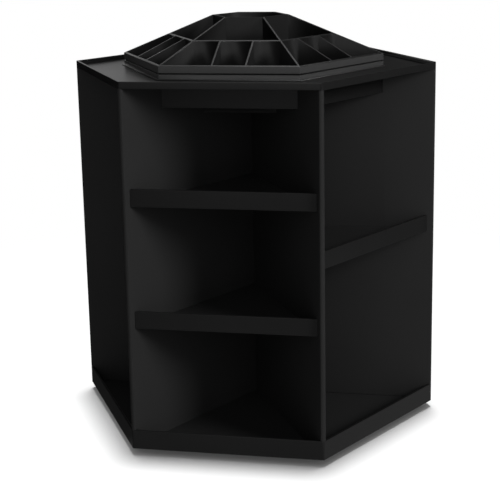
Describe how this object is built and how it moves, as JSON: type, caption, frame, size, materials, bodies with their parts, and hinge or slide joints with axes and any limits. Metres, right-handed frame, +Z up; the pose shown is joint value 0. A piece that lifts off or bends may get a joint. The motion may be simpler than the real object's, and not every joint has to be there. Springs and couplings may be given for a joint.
{
  "type": "rotating makeup organizer",
  "caption": "Hexagonal tower of open shelved bays on a turntable, with a lift-out caddy of small compartments rising to a central cup on top.",
  "frame": {"origin": "on the turntable's axis, in the plane of the rubber pads' undersides", "axes": "+Z up along the turntable's axis; the three-tier front bay faces -Y; +X points to the tower's right-hand corner"},
  "size_m": [0.288, 0.25, 0.3186],
  "materials": {
    "tower_plastic": "satin",
    "caddy_plastic": "satin",
    "foot_plastic": "matte",
    "pad_rubber": "matte",
    "zinc_steel": "satin",
    "ball_steel": "polished",
    "cage_nylon": "satin"
  },
  "bodies": {
    "foot": {"rubber_pads": "pad_rubber", "foot_plate": "foot_plastic", "centre_rivet": "zinc_steel"},
    "ball_race": {"bearing_balls": "ball_steel", "ball_cage": "cage_nylon"},
    "tower": {"swivel_plate": "zinc_steel", "swivel_screws": "zinc_steel", "base_tray": "tower_plastic", "panel_screws": "zinc_steel", "partition_panel_a": "tower_plastic", "partition_panel_b": "tower_plastic", "partition_panel_c": "tower_plastic", "shelf_front_lower": "tower_plastic", "shelf_front_upper": "tower_plastic", "shelf_right": "tower_plastic", "shelf_back_lower": "tower_plastic", "shelf_back_upper": "tower_plastic", "shelf_rear_left": "tower_plastic", "top_deck": "tower_plastic", "caddy_well": "tower_plastic", "well_screws": "zinc_steel"},
    "caddy": {"caddy_tray": "caddy_plastic", "caddy_cup": "caddy_plastic", "caddy_fins": "caddy_plastic", "caddy_cross_walls": "caddy_plastic", "caddy_dividers": "caddy_plastic"}
  },
  "joints": [
    {"name": "tower_spin", "type": "hinge", "parent": "foot", "child": "tower", "pos_m": [0, 0, 0.004], "axis": [0, 0, 1], "continuous": true},
    {"name": "cage_spin", "type": "hinge", "parent": "foot", "child": "ball_race", "pos_m": [0, 0, 0.004], "axis": [0, 0, 1], "continuous": true},
    {"name": "caddy_lift", "type": "slide", "parent": "tower", "child": "caddy", "axis": [0, 0, 1], "range_m": [0, 0.07]}
  ],
  "couplings": [
    {"joint": "cage_spin", "follows": "tower_spin", "ratio": 0.5}
  ]
}
